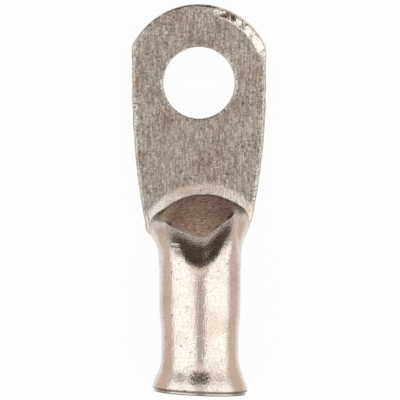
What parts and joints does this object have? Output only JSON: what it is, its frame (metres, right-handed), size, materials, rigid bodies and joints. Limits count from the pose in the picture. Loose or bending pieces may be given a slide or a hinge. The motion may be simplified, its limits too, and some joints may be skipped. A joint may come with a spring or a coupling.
{
  "type": "ring terminal",
  "caption": "Heavy tubular cable lug: a seamless tinned copper tube with one end flattened to a palm and punched for a stud, and the other flared to guide the cable in.",
  "frame": {"origin": "centre of the stud hole, at the palm's underside", "axes": "+Z along the stud hole's axis, out of the palm's upper face, the side on which the barrel rises; +Y from the stud hole to the palm's tip, so the cable leaves towards -Y; +X across the palm"},
  "size_m": [0.019, 0.0548, 0.0134],
  "materials": {
    "tinned_copper": "thin dull tin plating on drawn and pressed copper, rubbed through to copper on the ramp"
  },
  "bodies": {
    "root": {"lug_body": "tinned_copper"}
  },
  "joints": []
}
